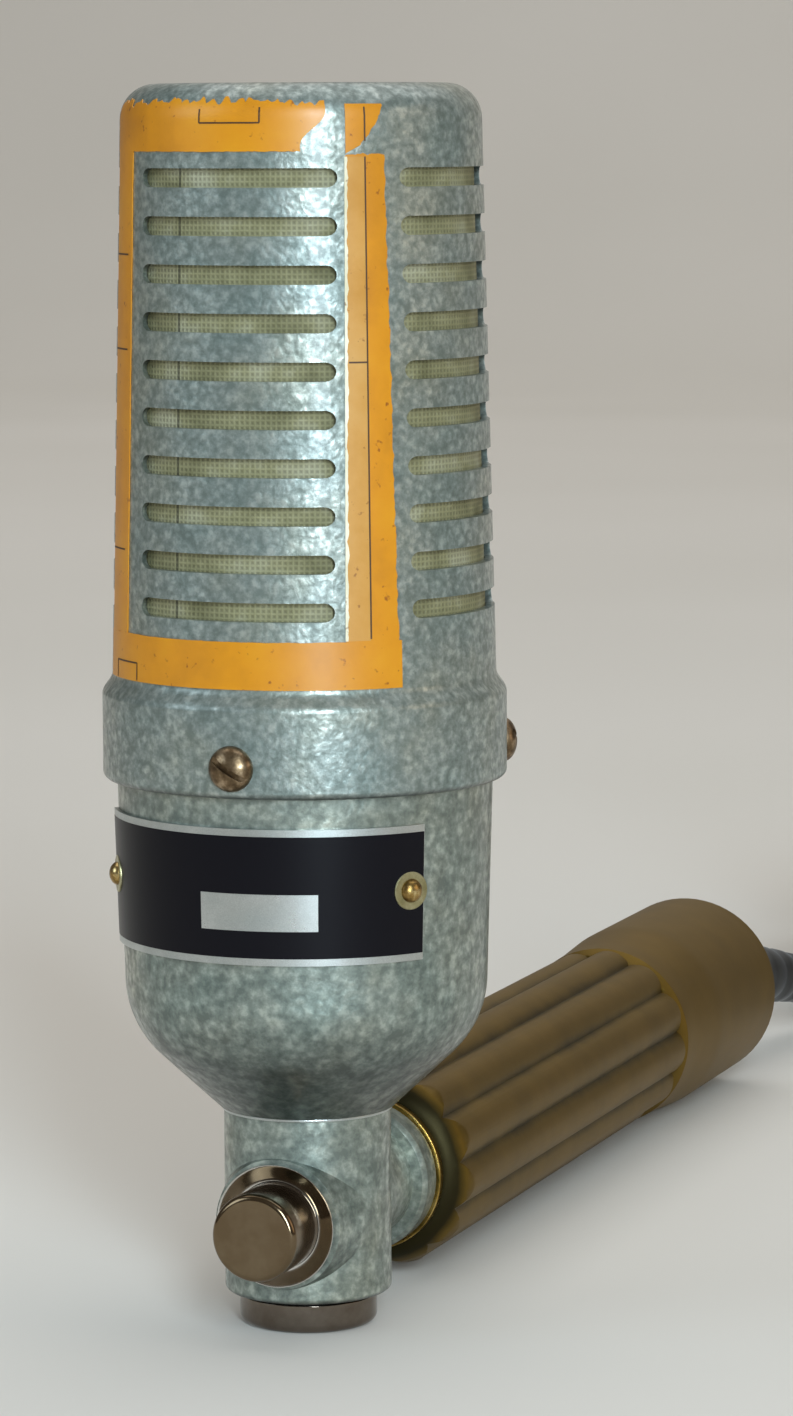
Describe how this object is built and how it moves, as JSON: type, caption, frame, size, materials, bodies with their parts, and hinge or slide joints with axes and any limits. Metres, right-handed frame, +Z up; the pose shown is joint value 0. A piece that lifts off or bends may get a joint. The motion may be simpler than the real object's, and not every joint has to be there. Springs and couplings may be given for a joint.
{
  "type": "hand microphone",
  "caption": "Hand-held dynamic microphone: slotted cylindrical head, thumb push button in its neck, fluted brass handle running straight back, cord in a tied hank with a pin connector.",
  "frame": {"origin": "centre of the bottom cap's flat underside, on the axis of the upright head", "axes": "+Z up the head, +Y back along the handle, -Y the side of the push button, +X to the right seen from the button"},
  "size_m": [0.0763, 0.4053, 0.1684],
  "materials": {
    "hammertone": "hammered silver-grey enamel",
    "gauze": "fine olive-beige wire gauze",
    "steel": "plain zinc-coated steel",
    "aged_brass": "aged, brown in the recesses",
    "tape": "yellow adhesive tape",
    "black_plate": "black enamel with bare silver lines",
    "black_rubber": "matte",
    "magnet_alloy": "ground faces",
    "copper": "enamelled copper wire",
    "diaphragm_foil": "thin domed foil",
    "brass": "tarnished",
    "core_iron": "stacked laminations",
    "phenolic": "moulded dark brown",
    "red_wire": "insulated lead",
    "green_wire": "insulated lead",
    "chrome": "polished, slightly worn",
    "spring_brass": "rolled strip",
    "cord_rubber": "satin sheath",
    "strap": "dark strap"
  },
  "bodies": {
    "microphone": {"grille_cap": "hammertone", "grille_gauze": "gauze", "gauze_ring": "steel", "skirt_screw_set": "aged_brass", "tape_strips": "tape", "lower_body": "hammertone", "nameplate": "black_plate", "nameplate_rivets": "aged_brass", "deck_plate": "steel", "deck_screws": "steel", "lower_cushion": "black_rubber", "magnet_pot": "steel", "magnet": "magnet_alloy", "pole_tip": "steel", "top_plate": "steel", "voice_coil": "copper", "diaphragm": "diaphragm_foil", "diaphragm_ring": "steel", "front_grid": "brass", "upper_cushion": "black_rubber", "clamp_ring": "steel", "tie_rods": "steel", "rod_nuts": "brass", "transformer_core": "core_iron", "transformer_winding": "copper", "transformer_clamp": "steel", "transformer_screws": "steel", "terminal_strip": "phenolic", "terminal_tags": "brass", "capsule_leads": "red_wire", "switch_leads": "green_wire", "neck_ring": "chrome", "neck_housing": "hammertone", "neck_nut": "brass", "bottom_cap": "chrome", "cap_gasket": "black_rubber", "button_bezel": "chrome", "button_spring": "steel", "switch_block": "phenolic", "switch_screws": "brass", "fixed_contact": "spring_brass", "collar_ring": "brass", "handle_stud": "brass", "stud_nut": "brass", "handle_grip": "brass", "end_plug": "brass", "plug_screws": "aged_brass", "cable_clamp": "steel", "inner_cable": "black_rubber", "strain_relief": "black_rubber", "cord_run": "cord_rubber", "cord_hank": "cord_rubber", "cord_tail": "cord_rubber", "cord_tie": "strap", "connector_shell": "chrome", "connector_insert": "phenolic", "connector_pins": "brass"},
    "button": {"push_button": "chrome", "button_clip": "steel"},
    "contact": {"moving_contact": "spring_brass"}
  },
  "joints": [
    {"name": "button_press", "type": "slide", "parent": "microphone", "child": "button", "axis": [0, 1, 0], "range_m": [0, 0.002], "stiffness_N_per_m": 800, "springref_m": -0.002, "deforming": ["button_spring"]},
    {"name": "contact_bend", "type": "hinge", "parent": "microphone", "child": "contact", "pos_m": [0, -0.00095, 0.0251], "axis": [1, 0, 0], "range_deg": [0, 12.2]}
  ],
  "couplings": [
    {"joint": "contact_bend", "follows": "button_press", "rad_per_m": 105.26}
  ]
}
